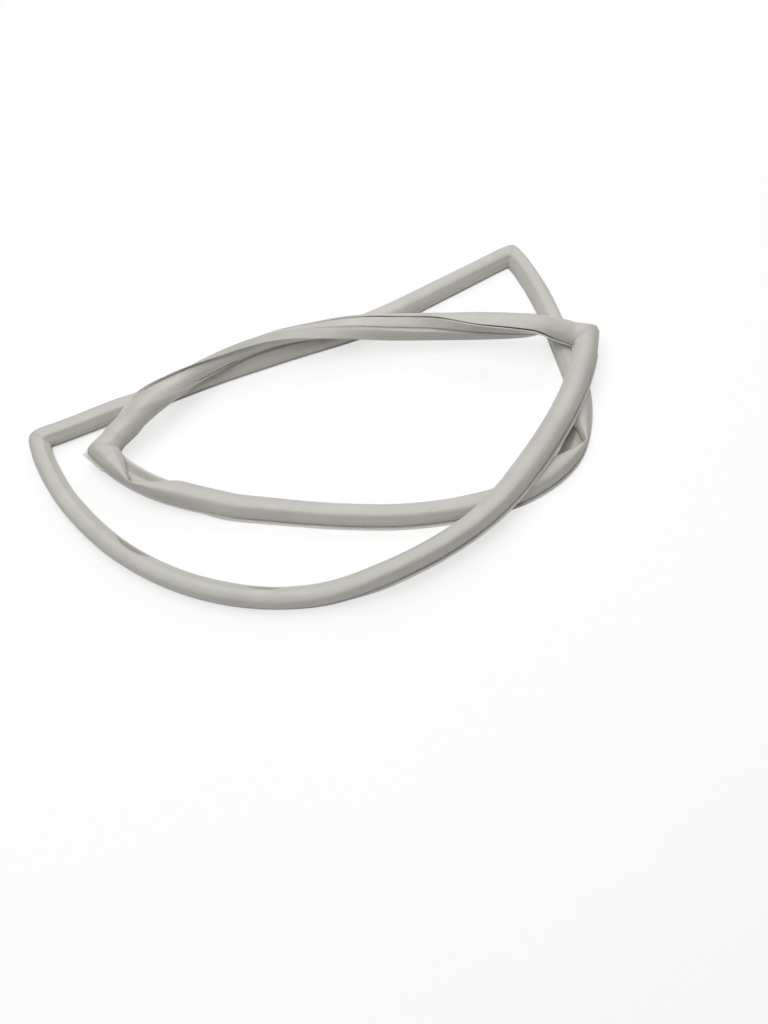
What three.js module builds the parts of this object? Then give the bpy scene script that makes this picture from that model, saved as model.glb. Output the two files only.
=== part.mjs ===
// Door gasket of a refrigerator, taken off its door and lying loose, doubled over on itself.
// One welded loop of soft extruded profile goes twice round the heap: a front strand, a twisted
// back strand, an inner strand and a straight back strand, joined at four mitred corners. Four
// flexible magnet strips sit in the pocket under the sealing face.
// Millimetres, +Z up, resting on Z = 0, origin under the middle of the heap.
import * as THREE from 'three';

// Size of the heap in plan, from corner region to corner region
const heapLength = 560;
const heapDepth = 410;

// Sizes of the extruded section: p runs across the strand, out of the frame, and q up from its back
const baseThickness = 1.6;
const baseInnerReach = 11.5;
const flangeRootReach = 9.4;
const flangeLength = 3.7;
const flangeThickness = 1.1;
const grooveInnerEdge = -1.5;
const grooveWidth = 3.5;
const grooveDepth = 1.9;
const grooveTaper = 0.6;
const grooveSkinShare = 0.8;
const ridgeReach = 4.6;
const skinThickness = 1.2;
const sectionHeight = 17.6;
const bellyHeight = 6.6;
const outerBellyReach = 10.3;
const innerBellyReach = 11.4;
const lipGap = 1.3;
const outerFootShare = 0.75;
const outerFootTurn = 30;
const innerFootTurn = 15;
const magnetWidth = 7.6;
const magnetThickness = 2;
const magnetClearance = 0.3;
const pocketWall = 0.9;
const pocketSlit = 1.2;

// Lie of the loop: crossings, corners and how the soft section gives way
const crossingGap = 0.6;
const pivotHeight = 8;
const cornerPivotReach = 14;
const cornerSteps = 4;
const roundCorner = 0.85;
const creasedCorner = 0.93;
const curlAngle = THREE.MathUtils.degToRad(42);
const tuckAngle = THREE.MathUtils.degToRad(150);
const tuckRadius = 1.15;
const foldPower = 1.4;
const foldNarrowing = 0.93;
const foldFlattening = 0.4;
const foldLift = 1.6;
const dentDepth = 6.5;
const dentRise = 0.5;
const bellyFrom = 5;
const bellyEase = 4;
const dentEase = 5;
const dentTop = 15;
const dentFall = 12;
const foldEase = 8;
const foldSkinReach = 0.7;
const foldMarks = [-1, -0.7, -0.4, -0.15, 0, 0.15, 0.4, 0.7, 1];
const stationGap = 6;
const magnetCornerGap = 24;
const magnetFoldGap = 12;

const vinylColour = 0xc3c1bb;
const magnetColour = 0x3a3835;

// The four strands in order round the loop. Points are plan positions of the section's middle line,
// in thousandths of the heap's length and depth. roll turns the inner edge up in degrees, widen pushes
// the belly out in millimetres, swell stretches the bulb upwards, lift is a share of one strand's
// height, pitch is the step between stations in millimetres, and curl and tuck run from 0, as
// extruded, to 1. A key is [share of the strand's length, value].
const corners = {
  left: [-482, -76],
  right: [482, 193],
  innerLeft: [-361, -124],
  top: [361, 478],
};
const strands = [
  {
    name: 'front',
    from: 'left',
    to: 'right',
    via: [[-462, -139], [-412, -246], [-319, -367], [-198, -450], [-66, -482], [68, -460], [189, -388],
      [291, -285], [372, -149], [439, 5], [475, 134]],
    pitch: [[0, 27], [1, 27]],
    roll: [[0, 0], [0.2, 18], [0.42, 18], [0.58, 0], [0.9, 0], [1, 8]],
    curl: [[0, 0], [1, 0]],
    tuck: [[0, 1], [0.46, 1], [0.58, 0], [1, 0]],
    widen: [[0, -1.2], [0.3, -0.6], [0.5, -1], [0.65, -0.8], [0.8, 1.2], [1, 1]],
    swell: [[0, 0], [1, 0]],
    lift: [[0, 0], [0.44, 0], [0.585, 1], [1, 1]],
    folds: [],
    dents: [{ at: 0.184, before: 19, after: 22, depth: 1 }, { at: 0.359, before: 20, after: 20, depth: 0.7 }],
  },
  {
    name: 'twisted',
    from: 'right',
    to: 'innerLeft',
    via: [[430, 202], [364, 205], [250, 212], [134, 218], [20, 207], [-89, 178], [-193, 100], [-280, -10],
      [-333, -78]],
    pitch: [[0, 9], [0.15, 9], [0.25, 17], [1, 17]],
    roll: [[0, 8], [0.03, 12], [0.06, 26], [0.11, 66], [0.2, 86], [0.28, 98], [0.39, 121], [0.54, 172],
      [0.72, 212], [0.86, 288], [0.95, 355], [1, 360]],
    curl: [[0, 0], [0.2, 0], [0.34, 1], [0.7, 1], [0.9, 0], [1, 0]],
    tuck: [[0, 0], [1, 0]],
    widen: [[0, 1], [0.1, 0.4], [0.4, 0], [0.75, 0.4], [0.88, 1.6], [1, 0.8]],
    swell: [[0, 0], [0.05, 0.04], [0.12, 0.2], [0.2, 0.28], [0.28, 0.16], [0.38, 0], [1, 0]],
    lift: [[0, 1], [0.95, 1], [1, 0.9]],
    folds: [],
    dents: [],
  },
  {
    name: 'inner',
    from: 'innerLeft',
    to: 'top',
    via: [[-328, -165], [-269, -209], [-169, -241], [-59, -259], [50, -271], [159, -271], [266, -248],
      [371, -196], [442, -107], [467, 37], [444, 195], [411, 344], [384, 424]],
    pitch: [[0, 30], [1, 30]],
    roll: [[0, 0], [1, 0]],
    curl: [[0, 0], [1, 0]],
    tuck: [[0, 0], [0.012, 0.3], [0.045, 1], [0.13, 1], [0.2, 0], [1, 0]],
    widen: [[0, 0.8], [0.12, 0.6], [0.3, -0.4], [0.5, -0.6], [0.7, -0.2], [1, -0.8]],
    swell: [[0, 0], [1, 0]],
    lift: [[0, 0.9], [0.06, 0.72], [0.2, 0], [1, 0]],
    folds: [{ at: 0.061, before: 30, after: 44, depth: 1 }, { at: 0.677, before: 36, after: 28, depth: 1 }],
    dents: [],
  },
  {
    name: 'back',
    from: 'top',
    to: 'left',
    via: [[325, 449], [227, 368], [93, 263], [-54, 185], [-198, 105], [-341, 12], [-443, -54]],
    pitch: [[0, 46], [1, 46]],
    roll: [[0, 0], [1, 0]],
    curl: [[0, 0], [1, 0]],
    tuck: [[0, 0], [0.8, 0], [0.9, 1], [1, 1]],
    widen: [[0, -1], [0.3, 0], [0.7, -0.4], [1, -1.4]],
    swell: [[0, 0], [1, 0]],
    lift: [[0, 0], [1, 0]],
    folds: [],
    dents: [],
  },
];

const degrees = THREE.MathUtils.degToRad;
const blend = (a, b, share) => a + (b - a) * share;
const ease = (value) => {
  const share = THREE.MathUtils.clamp(value, 0, 1);
  return share * share * (3 - 2 * share);
};

// Value at a share of the strand: a cubic through the keys that never overshoots them
function keyed(keys, share) {
  const next = keys.findIndex((key) => key[0] >= share);
  if (next <= 0) return keys[Math.max(next, 0)][1];
  const climb = (index) => (keys[index + 1]
    && keys[index] ? (keys[index + 1][1] - keys[index][1]) / (keys[index + 1][0] - keys[index][0]) : 0);
  const slope = (index) => {
    const product = climb(index - 1) * climb(index);
    return product > 0 ? (2 * product) / (climb(index - 1) + climb(index)) : 0;
  };
  const [start, low] = keys[next - 1];
  const [end, high] = keys[next];
  const span = end - start;
  const part = (share - start) / span;
  const left = 1 - part;
  return low * left * left * (1 + 2 * part) + high * part * part * (3 - 2 * part)
    + slope(next - 1) * span * part * left * left - slope(next) * span * part * part * left;
}

// Height of a fold at a distance along the strand: 1 at its sharp apex, falling to 0 at both ends
function foldHeight(folds, distance, length) {
  return folds.reduce((height, fold) => {
    const away = distance - fold.at * length;
    const nearness = Math.max(0, 1 - Math.abs(away) / (away < 0 ? fold.before : fold.after));
    return Math.max(height, fold.depth * nearness ** foldPower);
  }, 0);
}

// Half of a wall as an arc of an ellipse round its belly, from the sealing face down to its foot
const faceHalfWidth = magnetWidth / 2 + magnetClearance;
const pocketTop = sectionHeight - skinThickness;
const pocketFloor = pocketTop - magnetThickness - 2 * magnetClearance;
const wallTopHeight = sectionHeight - skinThickness / 2;
const wallSteps = 4;
function wall(side, reach, footHeight, footTurn) {
  const wide = reach - skinThickness / 2 - faceHalfWidth;
  const tall = wallTopHeight - bellyHeight;
  const low = (bellyHeight - footHeight) / Math.sin(footTurn);
  const points = [];
  for (let step = 0; step <= wallSteps; step += 1) {
    const turn = step < wallSteps ? (Math.PI / 2) * (1 - step / (wallSteps - 1)) : -footTurn;
    const rise = turn >= 0 ? tall : low;
    points.push([side * (faceHalfWidth + wide * Math.cos(turn)), bellyHeight + rise * Math.sin(turn)]);
  }
  return points;
}
const outerWall = wall(1, outerBellyReach, baseThickness * outerFootShare, degrees(outerFootTurn));
const innerWall = wall(-1, innerBellyReach, baseThickness + lipGap, degrees(innerFootTurn));

// The inner wall of the curled section: a short arc that bulges out over the raised base edge
const curlShift = [1.2, 2];
const curledCentre = [-2, 15];
const curledRadii = [7.4, 4];
const curledStart = 100;
const curledSweep = 115;
const curledWall = innerWall.map((point, step) => {
  const turn = degrees(curledStart + (curledSweep * step) / wallSteps);
  return [
    curledCentre[0] + curledRadii[0] * Math.cos(turn),
    curledCentre[1] + curledRadii[1] * Math.sin(turn),
  ];
});

// Both faces of a wall, half its thickness to either side of its middle line
function wallFaces(middle, side) {
  return middle.map((point, step) => {
    const before = middle[Math.max(step - 1, 0)];
    const after = middle[Math.min(step + 1, middle.length - 1)];
    const along = new THREE.Vector2(after[0] - before[0], after[1] - before[1]).normalize();
    const half = (side * skinThickness) / 2;
    const outward = [-along.y * half, along.x * half];
    return {
      outside: [point[0] + outward[0], point[1] + outward[1]],
      inside: [point[0] - outward[0], point[1] - outward[1]],
    };
  });
}

// The flange runs on from the base and can tuck under it round a small radius
function flange(tuck) {
  const turn = tuck * tuckAngle;
  const bent = turn * tuckRadius;
  const centre = [flangeRootReach, flangeThickness / 2 - tuckRadius];
  const at = (share) => {
    const run = flangeLength * share;
    const angle = Math.min(turn, run / tuckRadius);
    const straight = Math.max(run - bent, 0);
    const radial = [Math.sin(angle), Math.cos(angle)];
    const middle = [
      centre[0] + tuckRadius * radial[0] + straight * radial[1],
      centre[1] + tuckRadius * radial[1] - straight * radial[0],
    ];
    const half = flangeThickness / 2;
    return {
      top: [middle[0] + radial[0] * half, middle[1] + radial[1] * half],
      under: [middle[0] - radial[0] * half, middle[1] - radial[1] * half],
    };
  };
  return [at(0.5), at(1)];
}

// The belly and the base's edges stand further out by widen, the middle stays
const widened = ([p, q], widen) => {
  const share = ease((Math.abs(p) - bellyFrom) / bellyEase);
  return [p + widen * Math.sign(p) * share, q];
};

// Closed outline of the section for one station, as points [p, q] in one fixed order
function section(give) {
  const { curl, tuck, widen } = give;
  const bend = curl * curlAngle;
  const hinge = [ridgeReach, baseThickness / 2];
  const curled = ([p, q]) => {
    const across = p - hinge[0];
    const up = q - hinge[1];
    return [
      hinge[0] + across * Math.cos(bend) + up * Math.sin(bend),
      hinge[1] - across * Math.sin(bend) + up * Math.cos(bend),
    ];
  };
  const grooveOuterEdge = grooveInnerEdge + grooveWidth;
  const grooveTop = grooveDepth + baseThickness * grooveSkinShare;
  const under = [
    [grooveOuterEdge, 0],
    [grooveOuterEdge - grooveTaper, grooveDepth],
    [grooveInnerEdge + grooveTaper, grooveDepth],
    [grooveInnerEdge, 0],
    [-baseInnerReach, 0],
  ].map(curled);
  const over = [
    [-baseInnerReach, baseThickness],
    [grooveInnerEdge - baseThickness, baseThickness],
    [grooveInnerEdge, grooveTop],
    [grooveOuterEdge, grooveTop],
  ].map(curled);

  const inner = wallFaces(
    innerWall.map((point, step) => [
      blend(point[0], curledWall[step][0], curl),
      blend(point[1], curledWall[step][1], curl),
    ]),
    -1,
  );
  const outer = wallFaces(outerWall, 1);
  const shift = ([p, q]) => [p + curl * curlShift[0], q + curl * curlShift[1]];
  const cavityHalf = faceHalfWidth;
  const pocketUnder = pocketFloor - pocketWall;
  const slit = pocketSlit / 2;
  const pocket = [
    [cavityHalf + pocketWall, pocketUnder],
    [slit, pocketUnder],
    [slit, pocketFloor],
    [cavityHalf, pocketFloor],
    [cavityHalf, pocketTop],
    [-cavityHalf, pocketTop],
    [-cavityHalf, pocketFloor],
    [-slit, pocketFloor],
    [-slit, pocketUnder],
    [-cavityHalf - pocketWall, pocketUnder],
  ].map(shift);

  const last = wallSteps;
  const face = [[-faceHalfWidth, sectionHeight], [faceHalfWidth, sectionHeight]].map(shift);
  const skin = [
    ...outer.slice(1, last).reverse().map((faces) => faces.inside),
    ...pocket,
    ...inner.slice(1).map((faces) => faces.inside),
    ...inner.slice(1).reverse().map((faces) => faces.outside),
    ...face,
    ...outer.slice(1).map((faces) => faces.outside),
  ].map((point) => pressed(point, give));

  const tongue = flange(tuck);
  const base = [
    ...tongue.map((faces) => faces.under).reverse(),
    [flangeRootReach, 0],
    [ridgeReach, 0],
    ...under,
    ...over,
    [ridgeReach, baseThickness],
    [flangeRootReach - 1, baseThickness],
  ].map((point) => widened(point, widen));
  return [...base, ...skin, ...tongue.map((faces) => widened(faces.top, widen))];
}

// A fold draws the skin to the outer edge, a dent presses its lip in, swell stretches it upwards from
// the lip, and widen moves the belly
const lipHeight = baseThickness + lipGap;
function pressed([p, q], { fold, dent, widen, swell }) {
  const low = THREE.MathUtils.clamp((dentTop - q) / dentFall, 0, 1);
  const inward = dent * low * ease((-p - bellyFrom) / dentEase);
  const across = widened([p, q], widen)[0] + inward * dentDepth;
  const up = (q - lipHeight) * (1 + swell) + inward * dentRise;
  const outerEdge = outerBellyReach + foldSkinReach;
  const raised = foldLift * fold * ease((outerEdge - p) / foldEase);
  return [
    across + (outerEdge - across) * foldNarrowing * fold,
    lipHeight + up * (1 - foldFlattening * fold) + raised,
  ];
}

// A smooth plan curve through a strand's points, measured along its length
function planCurve(strand) {
  const points = [corners[strand.from], ...strand.via, corners[strand.to]];
  const spots = points.map(([x, y]) => new THREE.Vector3((x * heapLength) / 1000, (y * heapDepth) / 1000, 0));
  const curve = new THREE.CatmullRomCurve3(spots);
  curve.arcLengthDivisions = 600;
  return curve;
}
const plans = strands.map((strand) => planCurve(strand));

// Distances of a strand's stations: steps of its pitch, and closer ones round its folds and dents
function stationDistances(strand, length, clear) {
  const walked = [clear];
  while (walked.at(-1) < length - clear) {
    walked.push(walked.at(-1) + keyed(strand.pitch, walked.at(-1) / length));
  }
  const stretch = (length - 2 * clear) / (walked.at(-1) - clear);
  let distances = walked.slice(1, -1).map((distance) => clear + (distance - clear) * stretch);
  for (const fold of [...strand.folds, ...strand.dents]) {
    const marks = foldMarks.map((share) => fold.at * length + share * (share < 0 ? fold.before : fold.after))
      .filter((mark) => mark > clear && mark < length - clear);
    const nearest = (distance) => Math.min(...marks.map((mark) => Math.abs(mark - distance)));
    distances = [...distances.filter((distance) => nearest(distance) > stationGap), ...marks];
  }
  return distances.sort((a, b) => a - b);
}

const rightOf = (direction) => new THREE.Vector3(direction.y, -direction.x, 0);

// Fan of lateral directions round one corner. The mitre stretches each by its angle from the end. Two
// corners are round all through. At the other two only the bulb is, over a base with a sharp mitre.
const roundCorners = ['left', 'top'];
function cornerStations(index) {
  const arriving = plans[index].getTangentAt(1);
  const next = (index + 1) % strands.length;
  const leaving = plans[next].getTangentAt(0);
  const start = rightOf(arriving);
  const end = rightOf(leaving);
  const middle = start.clone().add(end).normalize();
  const half = Math.acos(THREE.MathUtils.clamp(middle.dot(start), -1, 1));
  const corner = plans[index].getPointAt(1);
  const pivot = corner.clone().addScaledVector(middle, -cornerPivotReach / Math.cos(half));
  const soft = roundCorners.includes(strands[index].to);
  const stations = [];
  for (let step = 0; step <= cornerSteps; step += 1) {
    const turn = half * ((2 * step) / cornerSteps - 1);
    const across = middle.clone().applyAxisAngle(new THREE.Vector3(0, 0, 1), turn);
    const stretch = 1 / Math.cos(half - Math.abs(turn));
    const bend = Math.cos((turn / half) * (Math.PI / 2));
    stations.push({
      origin: pivot,
      across,
      offset: cornerPivotReach,
      stretch,
      rounding: blend(1, soft ? roundCorner : creasedCorner, bend),
      soft,
      strand: step * 2 < cornerSteps ? index : next,
      share: step * 2 < cornerSteps ? 1 : 0,
      distance: -1,
    });
  }
  return { stations, clear: cornerPivotReach * Math.tan(half) };
}

// All stations round the loop, strand by strand with the corner that ends it
const turns = strands.map((strand, index) => cornerStations(index));
const loop = [];
strands.forEach((strand, index) => {
  const plan = plans[index];
  const length = plan.getLength();
  const clear = Math.max(turns[index].clear, turns[(index + strands.length - 1) % strands.length].clear);
  for (const distance of stationDistances(strand, length, clear)) {
    const share = distance / length;
    const origin = plan.getPointAt(share);
    const across = rightOf(plan.getTangentAt(share));
    const even = { offset: 0, stretch: 1, rounding: 1, soft: true };
    loop.push({ ...even, origin, across, strand: index, share, distance });
  }
  loop.push(...turns[index].stations);
});

// Places section points of one station in space, with the section's lowest point at its lift
const strandHeight = sectionHeight + crossingGap;
function place(station, points) {
  const strand = strands[station.strand];
  const roll = degrees(keyed(strand.roll, station.share));
  const turned = ([p, q]) => {
    const up = q - pivotHeight;
    return [p * Math.cos(roll) + up * Math.sin(roll), up * Math.cos(roll) - p * Math.sin(roll)];
  };
  const lowest = Math.min(...station.outline.map((point) => turned(point)[1]));
  const ground = keyed(strand.lift, station.share) * strandHeight - lowest;
  return points.map((point) => {
    const [across, up] = turned(point);
    const rounding = blend(1, station.rounding, station.soft ? 1 : ease(point[1] / bellyHeight));
    const reach = (across + station.offset) * station.stretch * rounding;
    const spot = station.origin.clone().addScaledVector(station.across, reach);
    return [spot.x, spot.y, ground + up];
  });
}

for (const station of loop) {
  const strand = strands[station.strand];
  const length = plans[station.strand].getLength();
  const between = station.distance >= 0;
  station.give = {
    curl: keyed(strand.curl, station.share),
    tuck: keyed(strand.tuck, station.share),
    widen: keyed(strand.widen, station.share),
    swell: keyed(strand.swell, station.share),
    fold: between ? foldHeight(strand.folds, station.distance, length) : 0,
    dent: between ? foldHeight(strand.dents, station.distance, length) : 0,
  };
  station.outline = section(station.give);
}

// Skins rings of points into a closed mesh: the profile's rings join end to start, and a strip's end
// in flat caps. A strip's sides are split the other way, so that they lean with the pocket round them.
function ringMesh(name, rings, closed, material) {
  const sides = rings[0].length;
  const positions = rings.flat(2);
  const indices = [];
  const count = closed ? rings.length : rings.length - 1;
  for (let ring = 0; ring < count; ring += 1) {
    const here = ring * sides;
    const there = ((ring + 1) % rings.length) * sides;
    for (let side = 0; side < sides; side += 1) {
      const next = (side + 1) % sides;
      if (closed) {
        indices.push(here + side, here + next, there + side);
        indices.push(here + next, there + next, there + side);
      } else {
        indices.push(here + side, here + next, there + next);
        indices.push(here + side, there + next, there + side);
      }
    }
  }
  if (!closed) {
    const end = (rings.length - 1) * sides;
    for (let side = 1; side < sides - 1; side += 1) {
      indices.push(0, side + 1, side);
      indices.push(end, end + side, end + side + 1);
    }
  }
  const geometry = new THREE.BufferGeometry();
  geometry.setAttribute('position', new THREE.Float32BufferAttribute(positions, 3));
  geometry.setIndex(indices);
  geometry.computeVertexNormals();
  const mesh = new THREE.Mesh(geometry, material);
  mesh.name = name;
  return mesh;
}

const vinyl = new THREE.MeshStandardMaterial({ color: vinylColour, roughness: 0.55, metalness: 0 });
const ferrite = new THREE.MeshStandardMaterial({ color: magnetColour, roughness: 0.8, metalness: 0 });

const gasket = new THREE.Group();
gasket.add(ringMesh('gasket_profile', loop.map((station) => place(station, station.outline)), true, vinyl));

// One magnet strip a strand, on its pocket's floor, ending short of its corners and folds
function magnetOutline({ curl, swell }) {
  const half = magnetWidth / 2;
  const floor = lipHeight + (pocketFloor + curl * curlShift[1] - lipHeight) * (1 + swell);
  const bottom = floor + magnetClearance;
  const top = bottom + magnetThickness;
  const middle = curl * curlShift[0];
  return [[middle - half, bottom], [middle - half, top], [middle + half, top], [middle + half, bottom]];
}
strands.forEach((strand, index) => {
  const length = plans[index].getLength();
  const starts = strand.folds.filter((fold) => fold.at < 0.5)
    .map((fold) => fold.at * length + fold.after + magnetFoldGap);
  const ends = strand.folds.filter((fold) => fold.at >= 0.5)
    .map((fold) => fold.at * length - fold.before - magnetFoldGap);
  const first = Math.max(magnetCornerGap, ...starts);
  const last = Math.min(length - magnetCornerGap, ...ends);
  const held = loop.filter((station) => station.strand === index
    && station.distance >= first && station.distance <= last);
  const rings = held.map((station) => place(station, magnetOutline(station.give)));
  gasket.add(ringMesh(`magnet_strip_${strand.name}`, rings, false, ferrite));
});

// The heap's middle moves to the origin, in plan only
const heap = new THREE.Box3().setFromObject(gasket);
const middle = heap.getCenter(new THREE.Vector3());
for (const piece of gasket.children) piece.geometry.translate(-middle.x, -middle.y, 0);

export default gasket;
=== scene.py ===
"""Looks of a loose refrigerator door gasket: soft vinyl profile, magnet strips, floor, lamps, camera.

Laid out as a Blender add-on and run as a script. Lengths inside the shape functions are
millimetres and the finished meshes are in metres. The section's own coordinates are p, across the
strand and out of the loop, and q, up from the section's back.
"""

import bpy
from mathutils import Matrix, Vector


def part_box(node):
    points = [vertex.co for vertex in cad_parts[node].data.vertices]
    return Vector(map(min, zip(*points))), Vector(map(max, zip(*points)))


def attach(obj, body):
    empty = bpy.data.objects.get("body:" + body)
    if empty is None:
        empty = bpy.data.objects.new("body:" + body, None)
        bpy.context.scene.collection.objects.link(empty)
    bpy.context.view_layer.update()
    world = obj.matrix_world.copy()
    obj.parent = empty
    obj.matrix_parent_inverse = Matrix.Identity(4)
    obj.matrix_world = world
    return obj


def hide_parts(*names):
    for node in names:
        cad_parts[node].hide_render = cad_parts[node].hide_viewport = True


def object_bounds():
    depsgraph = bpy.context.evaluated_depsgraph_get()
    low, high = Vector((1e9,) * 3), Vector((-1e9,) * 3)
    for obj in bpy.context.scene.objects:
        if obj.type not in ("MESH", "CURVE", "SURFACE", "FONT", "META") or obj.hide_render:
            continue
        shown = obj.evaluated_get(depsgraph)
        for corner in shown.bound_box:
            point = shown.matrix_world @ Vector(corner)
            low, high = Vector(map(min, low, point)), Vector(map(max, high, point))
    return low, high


bl_info = {
    "name": "Refrigerator door gasket",
    "version": (1, 0, 0),
    "blender": (4, 5, 0),
    "location": "3D View > Sidebar > Gasket",
    "description": "Builds a loose magnetic door gasket, doubled over on itself, with its stage",
    "category": "Add Mesh",
}

import bpy
import numpy as np
from mathutils import Vector

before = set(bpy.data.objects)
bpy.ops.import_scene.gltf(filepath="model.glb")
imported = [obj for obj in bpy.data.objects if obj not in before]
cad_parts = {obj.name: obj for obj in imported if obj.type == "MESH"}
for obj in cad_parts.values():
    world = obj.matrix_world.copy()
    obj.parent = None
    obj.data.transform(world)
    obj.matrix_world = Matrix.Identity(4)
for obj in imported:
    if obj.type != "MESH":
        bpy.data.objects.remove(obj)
CAD_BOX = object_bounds()

MM = 0.001

# Corners and plan points, in thousandths of the heap's length and depth
CORNERS = {"left": (-482, -76), "right": (482, 193), "inner left": (-361, -124), "top": (361, 478)}
SHARP_CORNERS = ("right", "inner left")

# The four strands in order round the loop. Keys are (share of the strand's length, value): roll in
# degrees turns the inner edge up, widen is in millimetres, lift is a share of one strand's height,
# curl and tuck run from 0, as extruded, to 1, and swell stretches the bulb upwards. A fold or dent is
# (distance along the strand, reach before, reach after, share of its full depth).
STRANDS = (
    {
        "start": "left", "end": "right",
        "via": ((-462, -139), (-412, -246), (-319, -367), (-198, -450), (-66, -482), (68, -460),
                (189, -388), (291, -285), (372, -149), (439, 5), (475, 134)),
        "roll": ((0, 0), (.2, 18), (.42, 18), (.58, 0), (.9, 0), (1, 8)),
        "tuck": ((0, 1), (.46, 1), (.58, 0), (1, 0)),
        "widen": ((0, -1.2), (.3, -.6), (.5, -1), (.65, -.8), (.8, 1.2), (1, 1)),
        "lift": ((0, 0), (.44, 0), (.585, 1), (1, 1)),
        "dents": ((165, 30, 24, 1), (298, 26, 26, .85)),
    },
    {
        "start": "right", "end": "inner left",
        "via": ((430, 202), (364, 205), (250, 212), (134, 218), (20, 207), (-89, 178), (-193, 100),
                (-280, -10), (-333, -78)),
        "roll": ((0, 8), (.03, 12), (.06, 26), (.11, 66), (.2, 86), (.28, 98), (.39, 121), (.54, 172),
                 (.72, 212), (.86, 288), (.95, 355), (1, 360)),
        "curl": ((0, 0), (.2, 0), (.34, 1), (.7, 1), (.9, 0), (1, 0)),
        "widen": ((0, 1), (.1, .4), (.4, 0), (.75, .4), (.88, 1.6), (1, .8)),
        "lift": ((0, 1), (.95, 1), (1, .9)),
        "swell": ((0, 0), (.05, .04), (.12, .2), (.2, .28), (.28, .16), (.38, 0), (1, 0)),
    },
    {
        "start": "inner left", "end": "top",
        "via": ((-328, -165), (-269, -209), (-169, -241), (-59, -259), (50, -271), (159, -271), (266, -248),
                (371, -196), (442, -107), (467, 37), (444, 195), (411, 344), (384, 424)),
        "tuck": ((0, 0), (.012, .3), (.045, 1), (.13, 1), (.2, 0), (1, 0)),
        "widen": ((0, .8), (.12, .6), (.3, -.4), (.5, -.6), (.7, -.2), (1, -.8)),
        "lift": ((0, .9), (.06, .72), (.2, 0), (1, 0)),
        "folds": ((45, 30, 44, 1), (498, 36, 28, 1)),
    },
    {
        "start": "top", "end": "left",
        "via": ((325, 449), (227, 368), (93, 263), (-54, 185), (-198, 105), (-341, 12), (-443, -54)),
        "tuck": ((0, 0), (.8, 0), (.9, 1), (1, 1)),
        "widen": ((0, -1), (.3, 0), (.7, -.4), (1, -1.4)),
    },
)

# Section sizes that stay fixed, in millimetres and radians
FLANGE_ROOT = 9.4
FLANGE_SHOULDER = 1.0
GROOVE_INNER_EDGE = -1.5
GROOVE_WIDTH = 3.5
GROOVE_DEPTH = 1.9
GROOVE_TAPER = 0.6
GROOVE_ROOF_SHARE = 0.8
RIDGE_REACH = 4.6
BELLY_HEIGHT = 6.6
BELLY_SHARE = 0.75
OUTER_FOOT_SHARE = 0.75
OUTER_FOOT_TURN = np.radians(30)
INNER_FOOT_TURN = np.radians(15)
LIP_GAP = 1.3
MAGNET_THICKNESS = 2.0
MAGNET_CLEARANCE = 0.3
POCKET_WALL = 0.9
POCKET_SLIT = 1.2
TIP_RADIUS = 0.5
MOUTH_RADIUS = 0.4
BASE_RADIUS = 0.7
LIP_RADIUS = 0.5
RADIUS_LIMIT = 0.4

# The section's place along the loop
PIVOT_HEIGHT = 8.0
CROSSING_GAP = 0.6
CORNER_PIVOT = 14.0
CORNER_WALK = 8.0
WELD_HALF_WIDTH = 0.9
ROUND_SOFTNESS = 0.22
CREASED_SOFTNESS = 0.08

# Sampling: points of a strand's curve, points for spacing its stations, share of the curve that a
# direction is taken over, points of each flat run, and how the stations crowd at folds and dents
CURVE_SAMPLES = 6001
SPACING_SAMPLES = 4000
SLOPE_STEP = 1e-4
RUN_POINTS = 5
CROWD_MARGIN = 1.4
CROWD_RAMP = 3
CROWD_EXTRA = 1.4

# Bends of the soft section, in millimetres, with the curled wall's turns in degrees. A band is
# (start, width) of a rise from 0 to 1.
DOME_DROP = 1.6
DOME_RISE = 0.35
DOME_HALF_WIDTH = 8
DOME_BAND = (8, 7)
WIDEN_BAND = (5, 4)
TUCK_RADIUS = 1.15
TUCK_ANGLE = np.radians(150)
CURL_ANGLE = np.radians(42)
CURL_BAND = (0, 6)
CURL_SHIFT = (1.2, 2)
CURLED_WALL_START = 100
CURLED_WALL_SWEEP = 115
CURLED_WALL_MIDDLE = (-2, 15)
CURLED_WALL_RADII = (7.4, 4)
FOLD_POWER = 1.4
FOLD_EDGE = 0.7
FOLD_NARROWING = 0.93
FOLD_FLATTENING = 0.4
FOLD_LIFT = 1.6
FOLD_LIFT_FADE = 8
DENT_BAND = (5, 5)
DENT_DEPTH = 12.0
DENT_TOP = 16.5
DENT_FALL = 11.0
DENT_RISE = 1.4

# Handling waves (height, length, phase) and the lip's ripple
WAVES = ((0.16, 31, 0), (0.11, 12.7, 1.3), (0.07, 5.3, 0.4))
WAVE_BAND = (3, 6)
WAVE_RISE = 0.6
RIPPLE_HEIGHT = 0.22
RIPPLE_LENGTH = 9.1
RIPPLE_BEAT = 47
RIPPLE_PHASE = 0.7
RIPPLE_SPREAD = 3.0
RIPPLE_FOLD_LIMIT = 0.2

# Masks of the vinyl: bands in millimetres of the section, apart from the upright one, which is of the roll's
# cosine, and the powers or counts of points that spread a crease's masks. The masks of the creased lip and of
# the outer edges place painted highlights, those of the pocket and the back painted shade.
UPRIGHT_BAND = (0.2, 0.5)
RIM_SPREAD = 0.5
RIM_LIP_SPREAD = 2.2
POCKET_SPREAD = 0.22
POCKET_SIDE = (1, 3)
POCKET_FLOOR = (1.2, 0.3)
POCKET_CEILING = (4, 1.5)
FOOT_SIDE = (9.5, 1)
FOOT_FLOOR = (1, 1)
FOOT_CEILING = (4.5, 3)
EDGE_SIDE = (9.8, 0.8)
EDGE_CEILING = (2.6, 0.8)
BACK_CEILING = (1.2, 0.4)
SHARP_ANGLE = np.radians(38)
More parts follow.
